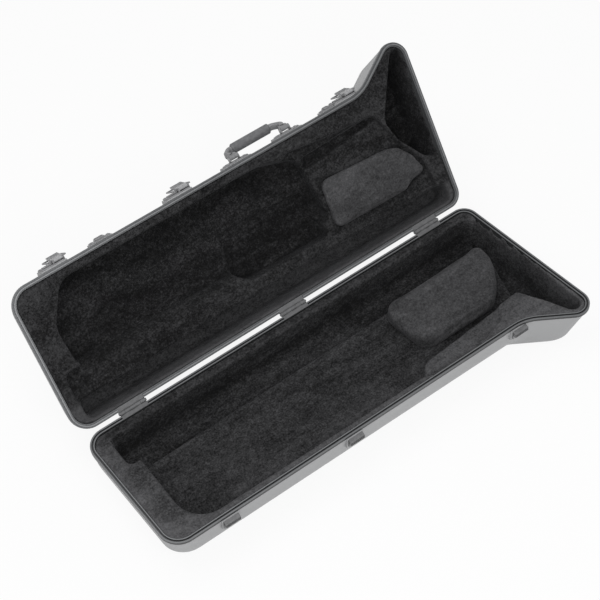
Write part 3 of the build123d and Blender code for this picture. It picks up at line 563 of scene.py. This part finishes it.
# %% The two linings
lining_voxel = 0.0036
lining_rounds = 7
lining_unevenness = 0.0012
lining_cloud = 0.05
crisp_within = 0.002
soft_beyond = 0.008


def hand_over(piece, node, material):
    piece.data.materials.clear()
    piece.data.materials.append(material)
    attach(piece, "lid" if node.startswith("lid") else "base")
    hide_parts(node)


for half, material in (("base", base_plush), ("lid", lid_plush)):
    lining = even_copy(f"{half}_liner", lining_voxel)
    free = away_from(lining, f"{half}_rim", crisp_within, soft_beyond)
    soften(lining, lining_rounds, lining_unevenness, lining_cloud, free)
    hand_over(lining, f"{half}_liner", material)


# %% [markdown]
# The block in the base and the pad in the lid are cut from foam and covered in plush.
# Foam under a tight cover swells between its edges. A bulge could be sculpted, but a
# cloth simulation with a little pressure finds it from the shape itself. The faces that
# are glued down are pinned, and no point may travel more than a cap, because firm foam
# hardly gives.

# %% Swell a pad
swelling_frames = 20
glued_height = 0.004


def swell(piece, inward, pressure, cap):
    before = [v.co.copy() for v in piece.data.vertices]
    deepest = max(v.dot(inward) for v in before)
    glued = piece.vertex_groups.new(name="glued")
    pinned = [i for i, v in enumerate(before) if v.dot(inward) > deepest - glued_height]
    glued.add(pinned, 1.0, "REPLACE")
    cloth = piece.modifiers.new("swelling", "CLOTH")
    cloth.settings.quality = 6
    cloth.settings.use_pressure = True
    cloth.settings.uniform_pressure_force = pressure
    cloth.settings.effector_weights.gravity = 0.0
    cloth.settings.vertex_group_mass = "glued"
    cloth.point_cache.frame_end = swelling_frames
    for step in range(1, swelling_frames + 1):
        bpy.context.scene.frame_set(step)
    evaluated(piece)
    bpy.context.scene.frame_set(1)
    moved = 0.0
    for vertex, old in zip(piece.data.vertices, before):
        travel = vertex.co - old
        if travel.length > cap:
            vertex.co = old + travel.normalized() * cap
        moved = max(moved, (vertex.co - old).length)
    print(piece.name, "swelled by up to", round(moved * 1000, 2), "mm")


# %% [markdown]
# Both pads are made the same way, and one row for each says what differs: its plush, the
# direction that it is glued towards, the size of its even faces, and its cap.

# %% The block and the pad
pad_rounds = 6
pad_unevenness = 0.0008
pad_cloud = 0.04
pad_pressure = 4.0
pads = (
    ("base_block", block_plush, base_inward, 0.0040, 0.0030),
    ("lid_pad", pad_plush, lid_inward, 0.0036, 0.0025),
)
for node, material, inward, voxel, cap in pads:
    pad = even_copy(node, voxel)
    soften(pad, pad_rounds, pad_unevenness, pad_cloud)
    swell(pad, Vector(inward), pad_pressure, cap)
    hand_over(pad, node, material)


# %% [markdown]
# A plain pale floor carries the case. The camera sees it nearly white through Light
# Path's camera, glossy and transmission rays, mixed with its true shaded surface, so
# that a soft shadow stays. All other rays meet the plain diffuse floor.

# %% Floor
floor_whiteness = 0.9
floor_half_side = 40.0
floor_clearance = 0.0002


def added(graph, first, second, clamp=False):
    node = graph.nodes.new("ShaderNodeMath")
    node.operation = "ADD"
    node.use_clamp = clamp
    graph.links.new(first, node.inputs[0])
    graph.links.new(second, node.inputs[1])
    return node.outputs[0]


def pale_floor():
    """Plain diffuse, but nearly white wherever the camera sees it, also in a gloss."""
    material = bpy.data.materials.new("pale_floor")
    material.use_nodes = True
    graph = material.node_tree
    graph.nodes.remove(graph.nodes["Principled BSDF"])
    diffuse = graph.nodes.new("ShaderNodeBsdfDiffuse")
    diffuse.inputs["Color"].default_value = (0.82, 0.82, 0.82, 1.0)
    glow = graph.nodes.new("ShaderNodeEmission")
    glow.inputs["Strength"].default_value = 1.0
    seen = graph.nodes.new("ShaderNodeMixShader")
    seen.inputs["Fac"].default_value = floor_whiteness
    graph.links.new(diffuse.outputs[0], seen.inputs[1])
    graph.links.new(glow.outputs[0], seen.inputs[2])
    path = graph.nodes.new("ShaderNodeLightPath").outputs
    direct = added(graph, path["Is Camera Ray"], path["Is Glossy Ray"])
    either = added(graph, direct, path["Is Transmission Ray"], clamp=True)
    last = graph.nodes.new("ShaderNodeMixShader")
    graph.links.new(either, last.inputs["Fac"])
    graph.links.new(diffuse.outputs[0], last.inputs[1])
    graph.links.new(seen.outputs[0], last.inputs[2])
    graph.links.new(last.outputs[0], graph.nodes["Material Output"].inputs["Surface"])
    return made(material)


floor_mesh = bpy.data.meshes.new("floor")
shape = bmesh.new()
bmesh.ops.create_grid(shape, x_segments=1, y_segments=1, size=floor_half_side)
floor_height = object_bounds()[0][2] - floor_clearance
bmesh.ops.translate(shape, verts=shape.verts, vec=(0.0, 0.0, floor_height))
shape.to_mesh(floor_mesh)
shape.free()
floor = bpy.data.objects.new("floor", floor_mesh)
bpy.context.scene.collection.objects.link(floor)
floor_mesh.materials.append(pale_floor())
print("floor at", round(floor_height, 4))


# %% [markdown]
# The light is that of a white studio: an even world, one large soft lamp above and a
# stronger one from the front left. Lamps are area lights, whose size makes soft edges.
# Together they light the case at a plain level, at which a colour looks as it is written.

# %% Light
world_strength = 0.55
case_middle = (0.0, 0.1, 0.1)


def soft_lamp(name, place, size, power):
    data = bpy.data.lights.new(name, "AREA")
    data.shape = "DISK"
    data.size = size
    data.energy = power
    lamp = bpy.data.objects.new(name, data)
    bpy.context.scene.collection.objects.link(lamp)
    lamp.location = place
    lamp.rotation_euler = (Vector(case_middle) - Vector(place)).to_track_quat("-Z", "Y").to_euler()
    print(name, power, "W")


world = bpy.data.worlds.new("studio")
bpy.context.scene.world = world
world.use_nodes = True
background = world.node_tree.nodes["Background"]
background.inputs["Color"].default_value = (1.0, 1.0, 1.0, 1.0)
background.inputs["Strength"].default_value = world_strength
soft_lamp("lamp_above", (-0.6, 0.4, 2.6), 1.8, 20.0)
soft_lamp("lamp_front", (-0.7, -2.0, 2.5), 1.6, 38.0)


# %% [markdown]
# The camera looks at the case as in the photograph. It could be placed by eye, but its
# direction, distance and focal length were fitted to the outline of the case, so that
# every edge falls where it does there. A roll turns the picture a little.

# %% Camera
azimuth = radians(-31.81)
elevation = radians(53.33)
roll = radians(-5.17)
distance = 3.1432
target = Vector((0.0512, 0.1570, 0.1150))
focal_pixels = 1636.6
picture_pixels = 600.0
sensor_width = 36.0

towards_camera = Vector((sin(azimuth) * cos(elevation), -cos(azimuth) * cos(elevation), sin(elevation)))
forward = -towards_camera
level = forward.cross(Vector((0.0, 0.0, 1.0))).normalized()
upright = level.cross(forward)
right = cos(roll) * level + sin(roll) * upright
up = cos(roll) * upright - sin(roll) * level

camera_data = bpy.data.cameras.new("camera")
camera_data.lens = sensor_width * focal_pixels / picture_pixels
camera_data.sensor_width = sensor_width
camera = bpy.data.objects.new("camera", camera_data)
bpy.context.scene.collection.objects.link(camera)
turned = Matrix((right, up, -forward)).transposed().to_4x4()
camera.matrix_world = Matrix.Translation(target + towards_camera * distance) @ turned
bpy.context.scene.camera = camera
bpy.context.scene.view_settings.view_transform = "Standard"
print("camera at", [round(v, 3) for v in camera.matrix_world.translation])
